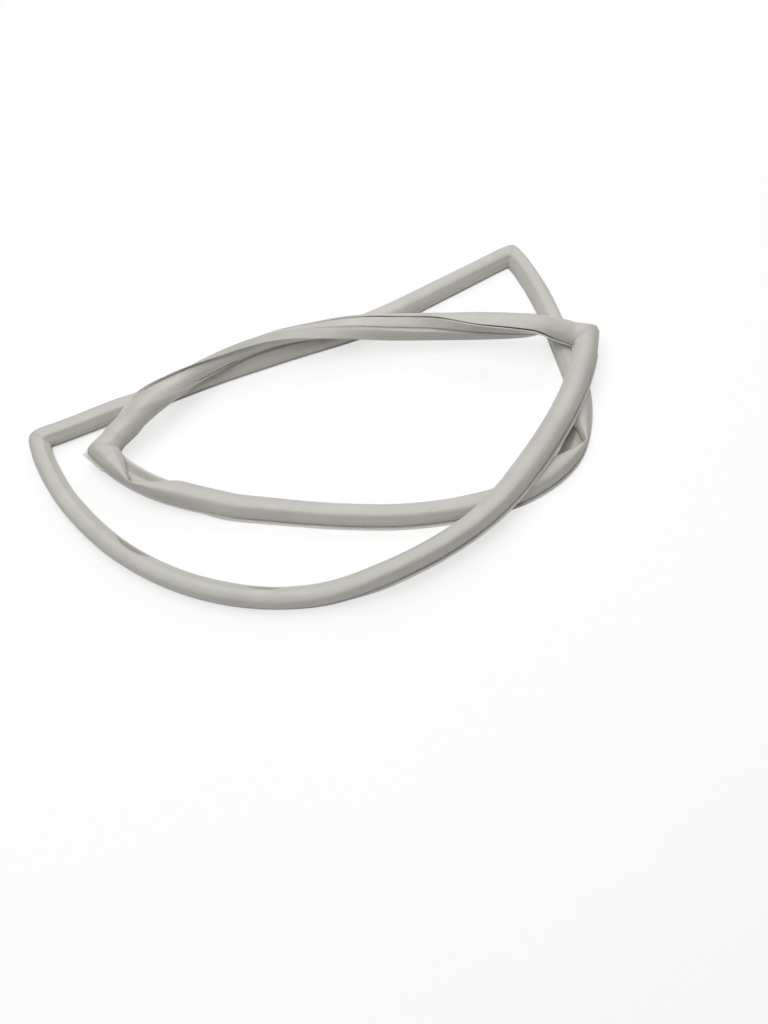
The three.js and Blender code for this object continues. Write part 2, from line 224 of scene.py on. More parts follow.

# Tones of the vinyl as factors of its plain colour, the bright one a painted highlight and the pocket and
# back ones painted shade, and the colour of a scuffed magnet strip
DARK_TONE = 0.9
PALE_TONE = 1.06
PAINTED_HIGHLIGHT_TONE = 1.3
WELD_TONE = 0.7
POCKET_TONE = 0.5
BACK_TONE = 0.72
LOW_BAND_TONES = (0.92, 0.89, 0.83)
SCUFFED_MAGNET = (0.16, 0.155, 0.15, 1.0)

# Stage sizes in metres, and each softbox as (name, setting of its power, place, size)
FLOOR_HALF = 4.0
FLOOR_DROP = 0.0003
SENSOR_WIDTH = 36.0
CAMERA_RANGE = (0.05, 50.0)
SOFTBOXES = (
    ("Overhead softbox", "overhead", (-0.2, 0.05, 1.5), 1.2),
    ("Rear softbox", "behind", (0.3, 1.2, 1.1), 0.8),
    ("Front softbox", "front", (-0.9, -1.0, 1.0), 0.9),
)


# Shape functions


def ease(value):
    """3 s squared minus 2 s cubed, with s the value held between 0 and 1."""
    share = np.clip(value, 0, 1)
    return share * share * (3 - 2 * share)


def above(value, band):
    """Eased rise from 0 at the band's start to 1 one width above it."""
    start, width = band
    return ease((value - start) / width)


def below(value, band):
    """Eased rise from 0 at the band's start to 1 one width below it."""
    start, width = band
    return ease((start - value) / width)


def keyed(keys, share):
    """Cubic through the keys, with each inner slope the harmonic mean of its two neighbours'."""
    x, y = np.array(keys, float).T
    climb = np.diff(y) / np.diff(x)
    slope = np.zeros(len(x))
    product = climb[:-1] * climb[1:]
    total = np.where(product > 0, climb[:-1] + climb[1:], 1)
    slope[1:-1] = np.where(product > 0, 2 * product / total, 0)
    start = np.clip(np.searchsorted(x, share, side="left") - 1, 0, len(x) - 2)
    span = x[start + 1] - x[start]
    part = (share - x[start]) / span
    left = 1 - part
    return (y[start] * left * left * (1 + 2 * part) + y[start + 1] * part * part * (3 - 2 * part)
            + slope[start] * span * part * left * left - slope[start + 1] * span * part * part * left)


def fold_height(folds, distance):
    """A fold's share of depth at its apex, times (1 - distance / reach) to the power FOLD_POWER on
    each side, and the highest of them where folds meet."""
    height = np.zeros_like(distance)
    for at, before, after, depth in folds:
        reach = np.where(distance < at, before, after)
        height = np.maximum(height, depth * np.clip(1 - np.abs(distance - at) / reach, 0, 1) ** FOLD_POWER)
    return height


def spline(points, t):
    """Centripetal Catmull-Rom curve: cubic pieces whose tangents weigh each step by its root length."""
    pieces = len(points) - 1
    padded = np.vstack([2 * points[0] - points[1], points, 2 * points[-1] - points[-2]])
    piece = np.clip(np.floor(t * pieces).astype(int), 0, pieces - 1)
    w = (t * pieces - piece)[:, None]
    before, start, end, after = (padded[piece + k] for k in range(4))
    d0, d1, d2 = ((((b - a) ** 2).sum(1) ** 0.25)[:, None]
                  for a, b in ((before, start), (start, end), (end, after)))
    leave = ((start - before) / d0 - (end - before) / (d0 + d1) + (end - start) / d1) * d1
    arrive = ((end - start) / d1 - (after - start) / (d1 + d2) + (after - end) / d2) * d1
    return (start + leave * w + (3 * (end - start) - 2 * leave - arrive) * w ** 2
            + (2 * (start - end) + leave + arrive) * w ** 3)


class PlanLine:
    """One strand's middle line in plan, measured along its length."""

    def __init__(self, strand, length, depth):
        points = np.array((CORNERS[strand["start"]], *strand["via"], CORNERS[strand["end"]]), float)
        self.points = points * (length / 1000, depth / 1000)
        self.t = np.linspace(0, 1, CURVE_SAMPLES)
        steps = np.diff(spline(self.points, self.t), axis=0)
        self.measured = np.concatenate([[0], np.cumsum(np.hypot(steps[:, 0], steps[:, 1]))])
        self.length = self.measured[-1]

    def at(self, distance):
        """Point on the curve at each distance, and the outward direction, right of the travel."""
        t = np.interp(distance, self.measured, self.t)
        ahead, behind = (spline(self.points, np.clip(t + move, 0, 1)) for move in (SLOPE_STEP, -SLOPE_STEP))
        step = ahead - behind
        along = step / np.linalg.norm(step, axis=1, keepdims=True)
        return spline(self.points, t), np.stack([along[:, 1], -along[:, 0]], -1)


def corner_fan(arriving, leaving, steps, softness):
    """Directions that turn evenly round a pivot inside the corner, with the mitre's stretch
    1 / cos(half the corner's turn minus the direction's own turn). The softened stretch replaces that
    turn by the root of its square plus softness squared, which rounds the tip."""
    start = arriving.at(np.array([arriving.length]))[1][0]
    end = leaving.at(np.array([0.0]))[1][0]
    middle = (start + end) / np.linalg.norm(start + end)
    half = np.arccos(np.clip(middle @ start, -1, 1))
    turn = half * np.linspace(-1, 1, steps + 1)
    across = np.stack([middle[0] * np.cos(turn) - middle[1] * np.sin(turn),
                       middle[0] * np.sin(turn) + middle[1] * np.cos(turn)], -1)
    return {
        "pivot": arriving.points[-1] - middle * CORNER_PIVOT / np.cos(half),
        "across": across,
        "stretch": 1 / np.cos(half - np.abs(turn)),
        "softened": 1 / np.cos(half - np.hypot(turn, softness)),
        "clear": CORNER_PIVOT * np.tan(half),
    }


def station_distances(strand, length, clear, pitch):
    """Distances at equal steps of a running total of density. The density is 1, plus CROWD_EXTRA
    times the eased height of CROWD_RAMP times the nearness to a fold or dent."""
    fine = np.linspace(clear, length - clear, SPACING_SAMPLES)
    creases = (*strand.get("folds", ()), *strand.get("dents", ()))
    near = fold_height([(at, before * CROWD_MARGIN, after * CROWD_MARGIN, 1)
                        for at, before, after, _ in creases], fine)
    density = 1 + CROWD_EXTRA * ease(near * CROWD_RAMP)
    total = np.concatenate([[0], np.cumsum((density[1:] + density[:-1]) / 2 * np.diff(fine))])
    count = int(round(total[-1] / pitch))
    return np.interp(total[-1] * np.arange(1, count) / count, total, fine)


def loop_stations(length, depth, pitch, corner_steps):
    """All stations round the loop, strand by strand with the corner that ends it, as arrays. Roll and
    the like are keyed by the station's share of its strand, folds and dents by its distance along it."""
    lines = [PlanLine(strand, length, depth) for strand in STRANDS]
    sharp = [strand["end"] in SHARP_CORNERS for strand in STRANDS]
    softness = [CREASED_SOFTNESS if crisp else ROUND_SOFTNESS for crisp in sharp]
    sides = len(STRANDS)
    fans = [corner_fan(lines[i], lines[(i + 1) % sides], corner_steps, softness[i]) for i in range(sides)]
    groups = []
    walked = 0.0
    for index, strand in enumerate(STRANDS):
        line, fan = lines[index], fans[index]
        clear = max(fan["clear"], fans[index - 1]["clear"])
        distance = station_distances(strand, line.length, clear, pitch)
        origin, across = line.at(distance)
        one = np.ones(len(distance))
        groups.append({"origin": origin, "across": across, "offset": 0 * one, "stretch": one, "softened": one,
                       "round": one, "strand": index * one, "share": distance / line.length,
                       "distance": distance, "walked": walked + distance, "weld": 0 * one})
        walked += line.length
        count = corner_steps + 1
        one = np.ones(count)
        first = np.arange(count) * 2 < corner_steps
        past = np.linspace(-CORNER_WALK, CORNER_WALK, count)
        groups.append({"origin": np.repeat(fan["pivot"][None], count, 0), "across": fan["across"],
                       "offset": CORNER_PIVOT * one, "stretch": fan["stretch"], "softened": fan["softened"],
                       "round": (not sharp[index]) * one,
                       "strand": np.where(first, index, (index + 1) % sides) * one, "share": 1.0 * first,
                       "distance": -one, "walked": walked + past,
                       "weld": np.exp(-(past / WELD_HALF_WIDTH) ** 2)})
    stations = {key: np.concatenate([group[key] for group in groups]) for key in groups[0]}
    for key in ("roll", "curl", "tuck", "widen", "lift", "swell"):
        values = np.zeros(len(stations["share"]))
        for index, strand in enumerate(STRANDS):
            mine = stations["strand"] == index
            values[mine] = keyed(strand.get(key, ((0, 0), (1, 0))), stations["share"][mine])
        stations[key] = values
    for key in ("folds", "dents"):
        values = np.zeros(len(stations["share"]))
        for index, strand in enumerate(STRANDS):
            mine = (stations["strand"] == index) & (stations["distance"] >= 0)
            values[mine] = fold_height(strand.get(key, ()), stations["distance"][mine])
        stations[key] = values
    return stations


def wall_arc(side, reach, top, foot_height, foot_turn, size, u):
    """Two arcs of ellipses that meet at the belly: u up to BELLY_SHARE turns from the sealing face to
    the belly, and the rest on down to the foot."""
    wide = reach - size["skin"] / 2 - size["face_half"]
    low = (BELLY_HEIGHT - foot_height) / np.sin(foot_turn)
    turn = np.where(u <= BELLY_SHARE, np.pi / 2 * (1 - u / BELLY_SHARE),
                    -foot_turn * (u - BELLY_SHARE) / (1 - BELLY_SHARE))
    rise = np.where(turn >= 0, top - BELLY_HEIGHT, low)
    across = side * (size["face_half"] + wide * np.cos(turn))
    return np.stack([across, BELLY_HEIGHT + rise * np.sin(turn)], -1)


def both_faces(middle, side, thickness):
    """The wall's middle line moved half its thickness along its normal, either way."""
    along = np.gradient(middle, axis=-2)
    along /= np.linalg.norm(along, axis=-1, keepdims=True)
    out = np.stack([-along[..., 1], along[..., 0]], -1) * side * thickness / 2
    return middle + out, middle - out


def widened(p, widen):
    """p moved outwards by widen, fading in over WIDEN_BAND off the middle."""
    return p + widen * np.sign(p) * above(np.abs(p), WIDEN_BAND)


def rounded(outline, corners):
    """Each listed corner (index, radius) becomes three points: back along both of its edges by the
    radius, or RADIUS_LIMIT of a short edge, and half way from the corner to the chord of those two."""
    columns = []
    count = outline.shape[1]
    for index in range(count):
        point = outline[:, index]
        if index not in corners:
            columns.append(point)
            continue
        ends = []
        for other in (index - 1, (index + 1) % count):
            edge = outline[:, other] - point
            size = np.linalg.norm(edge, axis=1, keepdims=True) + 1e-9
            ends.append(point + edge / size * np.minimum(corners[index], RADIUS_LIMIT * size))
        columns += [ends[0], point / 2 + (ends[0] + ends[1]) / 4, ends[1]]
    return np.stack(columns, 1)


def gasket_section(stations, size, wall_points):
    """Outline of the extruded section at every station: the flange's arc, the base with its groove,
    the hollow bulb between two elliptical walls, and the magnet pocket under the sealing face. Also
    returns the place of the lip's middle, counted in points round the outline."""
    count = len(stations["share"])
    curl = stations["curl"][:, None]
    skin, base, inner_reach = size["skin"], size["base"], size["base_inner"]
    u = np.linspace(0, 1, wall_points)

    def alike(points):
        """The points repeated for every station."""
        return np.broadcast_to(np.array(points, float), (count, len(points), 2))

    groove_outer = GROOVE_INNER_EDGE + GROOVE_WIDTH
    groove_top = GROOVE_DEPTH + base * GROOVE_ROOF_SHARE
    run = np.linspace(0, 1, RUN_POINTS)
    ridge_foot = GROOVE_INNER_EDGE - base
    under = [(groove_outer, 0), (groove_outer - GROOVE_TAPER, GROOVE_DEPTH),
             (GROOVE_INNER_EDGE + GROOVE_TAPER, GROOVE_DEPTH)]
    under += [(GROOVE_INNER_EDGE - (inner_reach + GROOVE_INNER_EDGE) * share, 0) for share in run]
    over = [(-inner_reach + (ridge_foot + inner_reach) * share, base) for share in run]
    over += [(GROOVE_INNER_EDGE, groove_top), (groove_outer, groove_top)]

    def curled(points):
        """Points turned about the ridge by curl times CURL_ANGLE, eased in with the distance inwards."""
        arm = alike(points) - (RIDGE_REACH, base / 2)
        bend = curl * CURL_ANGLE * above(-arm[..., 0], CURL_BAND)
        return np.stack([RIDGE_REACH + arm[..., 0] * np.cos(bend) + arm[..., 1] * np.sin(bend),
                         base / 2 - arm[..., 0] * np.sin(bend) + arm[..., 1] * np.cos(bend)], -1)

    top = size["height"] - skin / 2
    outer_foot = base * OUTER_FOOT_SHARE
    outer_wall = alike(wall_arc(1, size["outer_belly"], top, outer_foot, OUTER_FOOT_TURN, size, u))
    inner_wall = alike(wall_arc(-1, size["inner_belly"], top, base + LIP_GAP, INNER_FOOT_TURN, size, u))
    turn = np.radians(CURLED_WALL_START + CURLED_WALL_SWEEP * u)
    curled_wall = CURLED_WALL_MIDDLE + CURLED_WALL_RADII * np.stack([np.cos(turn), np.sin(turn)], -1)
    inner_wall = inner_wall + (curled_wall - inner_wall) * curl[..., None]
    outer_out, outer_in = both_faces(outer_wall, 1, skin)
    inner_out, inner_in = both_faces(inner_wall, -1, skin)
    shift = curl[..., None] * CURL_SHIFT
    half = size["face_half"]
    pocket_top = size["height"] - skin
    floor = pocket_top - MAGNET_THICKNESS - 2 * MAGNET_CLEARANCE
    low = floor - POCKET_WALL
    slit = POCKET_SLIT / 2
    pocket = alike([(half + POCKET_WALL, low), (slit, low), (slit, floor), (half, floor), (half, pocket_top),
                    (-half, pocket_top), (-half, floor), (-slit, floor), (-slit, low),
                    (-half - POCKET_WALL, low)]) + shift
    face = alike([(-half, size["height"]), (-half / 2, size["height"]), (0, size["height"]),
                  (half / 2, size["height"]), (half, size["height"])]) + shift
    bulb = np.concatenate([outer_in[:, 1:-1][:, ::-1], pocket, inner_in[:, 1:], inner_out[:, 1:][:, ::-1],
                           face, outer_out[:, 1:]], 1)
    bulb = pressed(bulb, stations, size)

    widen = stations["widen"][:, None]
    turn = stations["tuck"] * TUCK_ANGLE
    tops, unders = [], []
    for share in np.linspace(1 / RUN_POINTS, 1, RUN_POINTS):
        length = size["flange"] * share
        bent = np.minimum(turn, length / TUCK_RADIUS)
        straight = np.maximum(length - turn * TUCK_RADIUS, 0)
        middle = np.stack([FLANGE_ROOT + TUCK_RADIUS * np.sin(bent) + straight * np.cos(bent),
                           size["flange_thickness"] / 2 - TUCK_RADIUS * (1 - np.cos(bent))
                           - straight * np.sin(bent)], -1)
        out = np.stack([np.sin(bent), np.cos(bent)], -1) * size["flange_thickness"] / 2
        tops.append(middle + out)
        unders.append(middle - out)
    back = np.concatenate([np.stack(unders[::-1], 1), alike([(FLANGE_ROOT, 0), (RIDGE_REACH, 0)]),
                           curled(under), curled(over),
                           alike([(RIDGE_REACH, base), (FLANGE_ROOT - FLANGE_SHOULDER, base)])], 1)
    tongue = np.stack(tops, 1)
    back, tongue = (np.stack([widened(part[..., 0], widen), part[..., 1]], -1) for part in (back, tongue))
    outline = np.concatenate([back, bulb, tongue], 1)

    last = outline.shape[1] - 1
    mouth = len(unders) + 2
    inner_edge = mouth + len(under)
    far_mouth = mouth + 3
    lip = back.shape[1] + pocket.shape[1] + 2 * (wall_points - 2)
    corners = {0: TIP_RADIUS, last: TIP_RADIUS, mouth: MOUTH_RADIUS, far_mouth: MOUTH_RADIUS,
               inner_edge - 1: BASE_RADIUS, inner_edge: BASE_RADIUS, lip: LIP_RADIUS, lip + 1: LIP_RADIUS}
    # Rounding adds two points at each corner, and the lip's middle is half way along its six
    lip_middle = lip + 2 * sum(corner < lip for corner in corners) + 2.5
    return rounded(outline, corners), lip_middle


def pressed(bulb, stations, size):
    """A fold draws each point a share of the way to the outer edge, a dent pushes the lip inwards by
    its depth, fading with height, swell stretches heights above the lip, and widen moves the bellies.
    The soft top domes: it rises in the middle and drops with the square of the distance from it."""
    p, q = bulb[..., 0], bulb[..., 1]
    fold, dent, swell, widen = (stations[key][:, None] for key in ("folds", "dents", "swell", "widen"))
    lip = size["base"] + LIP_GAP
    inward = dent * above(-p, DENT_BAND) * np.clip((DENT_TOP - q) / DENT_FALL, 0, 1)
    across = widened(p, widen) + inward * DENT_DEPTH
    off_middle = np.clip(np.abs(p) / DOME_HALF_WIDTH, 0, 1)
    dome = (DOME_RISE - (DOME_DROP + DOME_RISE) * off_middle ** 2) * above(q, DOME_BAND)
    up = lip + (q + dome - lip) * (1 + swell) + inward * DENT_RISE
    edge = size["outer_belly"] + FOLD_EDGE
    crumple = FOLD_LIFT * fold * below(p, (edge, FOLD_LIFT_FADE))
    return np.stack([across + (edge - across) * FOLD_NARROWING * fold,
                     lip + (up - lip) * (1 - FOLD_FLATTENING * fold) + crumple], -1)


def placed(stations, outline, size):
    """Section points in space: turned by roll about the pivot, set down with the lowest point at the
    lift, then carried out from the station's origin along its direction times the mitre's stretch."""
    roll = np.radians(stations["roll"])[:, None]
    p, q = outline[..., 0], outline[..., 1] - PIVOT_HEIGHT
    reach = p * np.cos(roll) + q * np.sin(roll)
    up = q * np.cos(roll) - p * np.sin(roll)
    ground = stations["lift"] * (size["height"] + CROSSING_GAP) - up.min(1)
    soft = np.maximum(stations["round"][:, None], above(outline[..., 1], (0, BELLY_HEIGHT)))
    stretch = stations["stretch"][:, None] + (stations["softened"] - stations["stretch"])[:, None] * soft
    reach = (reach + stations["offset"][:, None]) * stretch
    plan = stations["origin"][:, None] + stations["across"][:, None] * reach[..., None]
    return np.concatenate([plan, (up + ground[:, None])[..., None]], -1) * MM


def near_lip(outline, lip, spread):
    """e to the minus square of the points counted from the lip's middle over the spread."""
    return np.exp(-((np.arange(outline.shape[1])[None] - lip) / spread) ** 2)


def handled(outline, stations, lip):
    """Slow waves of a soft part that has been handled: a sum of sines of the distance walked lifts the
    bulb by a few tenths of a millimetre, and a product of two moves its lip sideways."""
    walked = stations["walked"][:, None]
    wave = sum(height * np.sin(walked / length + phase) for height, length, phase in WAVES)
    ripple = RIPPLE_HEIGHT * np.sin(walked / RIPPLE_LENGTH) * np.sin(walked / RIPPLE_BEAT + RIPPLE_PHASE)
    loose = near_lip(outline, lip, RIPPLE_SPREAD) * (stations["folds"][:, None] < RIPPLE_FOLD_LIMIT)
    rise = above(outline[..., 1], WAVE_BAND) * wave * WAVE_RISE
    return np.stack([outline[..., 0] + loose * ripple, outline[..., 1] + rise], -1)


def surface_masks(outline, stations, lip):
    """Masks for the vinyl: weld lines, and a painted highlight along the lip where it is creased, both set by
    the station; painted shade in the pocket behind the lip, a darker, warmer band low on the walls, a painted
    highlight on the outer edges where the strand lies upright and painted shade on the back where it doesn't,
    each a product of eased bands of p and q."""
    p, q = outline[..., 0], outline[..., 1]
    shape = np.ones(outline.shape[:2])
    crease = np.maximum(stations["folds"], stations["dents"])[:, None] * shape
    upright = above(np.cos(np.radians(stations["roll"])), UPRIGHT_BAND)[:, None]
    lip_share = near_lip(outline, lip, RIM_LIP_SPREAD)
    return {
        "weld": stations["weld"][:, None] * shape,
        # painted highlight along the lip where a fold or dent creases it
        "rim": crease ** RIM_SPREAD * lip_share,
        "pocket": crease ** POCKET_SPREAD * (1 - lip_share) * above(-p, POCKET_SIDE)
                  * above(q, POCKET_FLOOR) * below(q, POCKET_CEILING),
        "foot": below(q, FOOT_CEILING) * above(q, FOOT_FLOOR) * below(np.abs(p), FOOT_SIDE),
        # painted highlight on the outer edges where the strand lies upright
        "edge": upright * above(np.abs(p), EDGE_SIDE) * below(q, EDGE_CEILING),
        "back": (1 - upright) * below(q, BACK_CEILING),
    }


# Meshes


def added(name, data):
    """A new object with the data, in the scene."""
    piece = bpy.data.objects.new(name, data)
    bpy.context.scene.collection.objects.link(piece)
    return piece


def ring_mesh(name, rings, walked, masks):
    """Quads between neighbouring rings, closed both ways, with a UV map of the distance walked and the
    share round the outline, and one point attribute for each mask."""
    count, sides = rings.shape[:2]
    ring, side = np.meshgrid(np.arange(count), np.arange(sides), indexing="ij")
    next_ring, next_side = (ring + 1) % count, (side + 1) % sides
    quads = np.stack([ring * sides + side, ring * sides + next_side, next_ring * sides + next_side,
                      next_ring * sides + side], -1).reshape(-1, 4)
    mesh = bpy.data.meshes.new(name)
    mesh.vertices.add(count * sides)
    mesh.vertices.foreach_set("co", rings.astype(np.float32).ravel())
    mesh.loops.add(len(quads) * 4)
    mesh.loops.foreach_set("vertex_index", quads.ravel().astype(np.int32))
    mesh.polygons.add(len(quads))
    mesh.polygons.foreach_set("loop_start", np.arange(0, len(quads) * 4, 4, dtype=np.int32))
    mesh.update(calc_edges=True)
    mesh.polygons.foreach_set("use_smooth", np.ones(len(quads), bool))
    mesh.set_sharp_from_angle(angle=SHARP_ANGLE)
    around = np.stack([side, next_side, next_side, side], -1)
    around = np.where((around == 0) & (side[..., None] > 0), sides, around) / sides
    end = np.append(walked[1:], walked[-1] + walked[0] - CORNER_WALK)
    along = np.stack([walked[ring], walked[ring], end[ring], end[ring]], -1) * MM
    layer = mesh.uv_layers.new(name="strand")
    layer.data.foreach_set("uv", np.stack([along, around], -1).reshape(-1).astype(np.float32))
    for key, values in masks.items():
        attribute = mesh.attributes.new(key, "FLOAT", "POINT")
        attribute.data.foreach_set("value", values.astype(np.float32).ravel())
    if mesh.validate():
        raise RuntimeError(f"{name}: the mesh had faults")
    return added(name, mesh)


# Materials


class Nodes:
    """A node tree with short calls: add a node with its settings, then wire its sockets by name."""

    def __init__(self, tree):
        self.tree = tree
        tree.nodes.clear()

    def add(self, kind, inputs=None, **settings):
        node = self.tree.nodes.new(kind)
        for key, value in settings.items():
            setattr(node, key, value)
        for key, value in (inputs or {}).items():
            if isinstance(value, bpy.types.NodeSocket):
                self.tree.links.new(value, node.inputs[key])
            else:
                node.inputs[key].default_value = value
        return node

    def noise(self, vector, scale, detail=3.0, roughness=0.55):
        return self.add("ShaderNodeTexNoise", {"Vector": vector, "Scale": scale, "Detail": detail,
                                               "Roughness": roughness}).outputs["Fac"]

    def remap(self, value, low, high, to_low=0.0, to_high=1.0):
        return self.add("ShaderNodeMapRange", {"Value": value, "From Min": low, "From Max": high,
                                               "To Min": to_low, "To Max": to_high}).outputs["Result"]

    def math(self, operation, first, second):
        return self.add("ShaderNodeMath", {0: first, 1: second}, operation=operation).outputs[0]

    def times(self, value, factor):
        return self.math("MULTIPLY", value, factor)

    def mask(self, name):
        return self.add("ShaderNodeAttribute", attribute_name=name).outputs["Fac"]

    def bump(self, height, strength, distance):
        return self.add("ShaderNodeBump", {"Height": height, "Strength": strength,
                                           "Distance": distance}).outputs["Normal"]

    def mix(self, share, first, second, blend_type="MIX"):
        return self.add("ShaderNodeMix", {0: share, 6: first, 7: second}, data_type="RGBA",
                        blend_type=blend_type).outputs[2]


def shade(colour, factor):
    """The colour times the factor, each channel held at 1, with full alpha."""
    return tuple(min(channel * factor, 1.0) for channel in colour) + (1.0,)


def handled_surface_group():
    """Masks of a handled soft surface: mottle in broad clouds, fine grain, and thin scuffs."""
    tree = bpy.data.node_groups.new("Handled surface", "ShaderNodeTree")
    nodes = Nodes(tree)
    tree.interface.new_socket("Vector", in_out="INPUT", socket_type="NodeSocketVector")
    for name in ("Mottle", "Grain", "Scuffs"):
        tree.interface.new_socket(name, in_out="OUTPUT", socket_type="NodeSocketFloat")
    vector = nodes.add("NodeGroupInput").outputs["Vector"]
    mottle = nodes.noise(vector, 26.0, 4.0)
    grain = nodes.noise(vector, 900.0, 2.0, 0.7)
    stretch = nodes.add("ShaderNodeMapping", {"Vector": vector, "Rotation": (0.3, 0.2, 0.7),
                                              "Scale": (60.0, 420.0, 200.0)}).outputs["Vector"]
    scratches = nodes.remap(nodes.noise(stretch, 1.0, 2.0), 0.66, 0.74)
    patches = nodes.remap(nodes.noise(vector, 34.0, 2.0), 0.5, 0.66)
    nodes.add("NodeGroupOutput", {"Mottle": nodes.remap(mottle, 0.3, 0.7), "Grain": grain,
                                  "Scuffs": nodes.times(scratches, patches)})
    return tree


def soft_material(name):
    """An empty material with its tree and a handled-surface group on object coordinates."""
    material = bpy.data.materials.new(name)
    material.use_nodes = True
    nodes = Nodes(material.node_tree)
    place = nodes.add("ShaderNodeTexCoord").outputs["Object"]
    group = bpy.data.node_groups.get("Handled surface") or handled_surface_group()
    surface = nodes.add("ShaderNodeGroup", node_tree=group)
    nodes.tree.links.new(place, surface.inputs["Vector"])
    return material, nodes, surface.outputs


def vinyl_material(colour):
    """Satin vinyl: clouded tint and streaks along the extrusion, then a darker, warmer band low on the walls,
    a dull line at each weld, painted shade in the creases and on the back, painted highlights on the outer
    edges and along creased lips, and scuffs."""
    material, nodes, surface = soft_material("Vinyl")
    strand = nodes.add("ShaderNodeUVMap", uv_map="strand").outputs["UV"]
    stretched = nodes.add("ShaderNodeMapping", {"Vector": strand, "Scale": (5.0, 150.0, 1.0)})
    streaks = nodes.noise(stretched.outputs["Vector"], 1.0, 3.0)
    weld = nodes.mask("weld")
    # a darker, warmer band low on the walls near the base
    low_band_share = nodes.times(nodes.mask("foot"), nodes.remap(surface["Mottle"], 0, 1, 0.45, 0.9))
    dark, pale, painted_highlight = (shade(colour, tone) for tone in (DARK_TONE, PALE_TONE, PAINTED_HIGHLIGHT_TONE))
    low_band_tone = (*(channel * tone for channel, tone in zip(colour, LOW_BAND_TONES)), 1.0)
    # Among these layers the outer edges and the creased lip get a painted highlight, and the pocket behind
    # the lip and the back get painted shade
    layers = ((nodes.remap(streaks, 0.3, 0.7, 0.0, 0.35), dark),
              (low_band_share, low_band_tone),
              (nodes.times(weld, 0.4), shade(colour, WELD_TONE)),
              (nodes.times(nodes.mask("pocket"), 0.8), shade(colour, POCKET_TONE)),
              (nodes.times(nodes.mask("back"), 0.5), shade(colour, BACK_TONE)),
              (nodes.times(nodes.mask("edge"), 0.8), painted_highlight),
              (nodes.mask("rim"), painted_highlight),
              (nodes.times(surface["Scuffs"], 0.4), pale))
    tint = nodes.mix(surface["Mottle"], dark, pale)
    for share, tone in layers:
        tint = nodes.mix(share, tint, tone)
    rough = nodes.math("ADD", nodes.remap(surface["Mottle"], 0, 1, 0.44, 0.56), nodes.times(weld, 0.2))
    rough = nodes.math("ADD", rough, nodes.times(surface["Scuffs"], 0.15))
    height = nodes.math("ADD", nodes.times(surface["Grain"], 0.25), streaks)
    height = nodes.math("SUBTRACT", height, nodes.times(weld, 2.0))
    shader = nodes.add("ShaderNodeBsdfPrincipled", {
        "Base Color": tint, "Roughness": rough, "Normal": nodes.bump(height, 0.35, 0.00012), "IOR": 1.5,
        "Sheen Weight": 0.06, "Sheen Roughness": 0.5})
    nodes.add("ShaderNodeOutputMaterial", {"Surface": shader.outputs["BSDF"]})
    return material


def magnet_material(colour):
    """Matt ferrite in rubber: near-black with pale handling scuffs and a coarse grain."""
    material, nodes, surface = soft_material("Magnet")
    tint = nodes.mix(surface["Mottle"], shade(colour, 0.8), shade(colour, 1.5))
    tint = nodes.mix(nodes.times(surface["Scuffs"], 0.5), tint, SCUFFED_MAGNET)
    shader = nodes.add("ShaderNodeBsdfPrincipled", {
        "Base Color": tint, "Roughness": nodes.remap(surface["Grain"], 0.3, 0.7, 0.66, 0.86),
        "Normal": nodes.bump(surface["Grain"], 0.5, 0.0002)})
    nodes.add("ShaderNodeOutputMaterial", {"Surface": shader.outputs["BSDF"]})
    return material


def floor_material(lit_share, glow):
    """Pale floor that keeps a soft shadow: diffuse light, and for camera, glossy and transmission rays a
    share of it plus an even glow, which together come to white where no shadow falls."""
    material = bpy.data.materials.new("Floor")
    material.use_nodes = True
    nodes = Nodes(material.node_tree)
    place = nodes.add("ShaderNodeTexCoord").outputs["Object"]
    cloud = nodes.remap(nodes.noise(place, 3.0, 2.0), 0.3, 0.7, 0.97, 1.0)
    white = nodes.mix(cloud, (0.0, 0.0, 0.0, 1.0), (0.86, 0.86, 0.86, 1.0))
    seen = nodes.mix(1.0, white, (lit_share, lit_share, lit_share, 1.0), "MULTIPLY")
    plain = nodes.add("ShaderNodeBsdfDiffuse", {"Color": white}).outputs["BSDF"]
    shown = nodes.add("ShaderNodeBsdfDiffuse", {"Color": seen}).outputs["BSDF"]
    shine = nodes.add("ShaderNodeEmission", {"Color": (1.0, 1.0, 1.0, 1.0), "Strength": glow})
    both = nodes.add("ShaderNodeAddShader", {0: shown, 1: shine.outputs["Emission"]}).outputs["Shader"]
    path = nodes.add("ShaderNodeLightPath").outputs
    direct = nodes.math("MAXIMUM", path["Is Camera Ray"],
                        nodes.math("MAXIMUM", path["Is Glossy Ray"], path["Is Transmission Ray"]))
    mixed = nodes.add("ShaderNodeMixShader", {0: direct, 1: plain, 2: both}).outputs["Shader"]
    nodes.add("ShaderNodeOutputMaterial", {"Surface": mixed})
    return material


# Settings


def length_setting(name, description, default):
    return bpy.props.FloatProperty(name=name, description=description, default=default, min=0.0,
                                   subtype="DISTANCE", unit="LENGTH", precision=4)


def colour_setting(name, description, default):
    return bpy.props.FloatVectorProperty(name=name, description=description, default=default, size=3,
                                         min=0.0, max=1.0, subtype="COLOR")


def amount_setting(name, description, default, **limits):
    return bpy.props.FloatProperty(name=name, description=description, default=default, min=0.0, **limits)


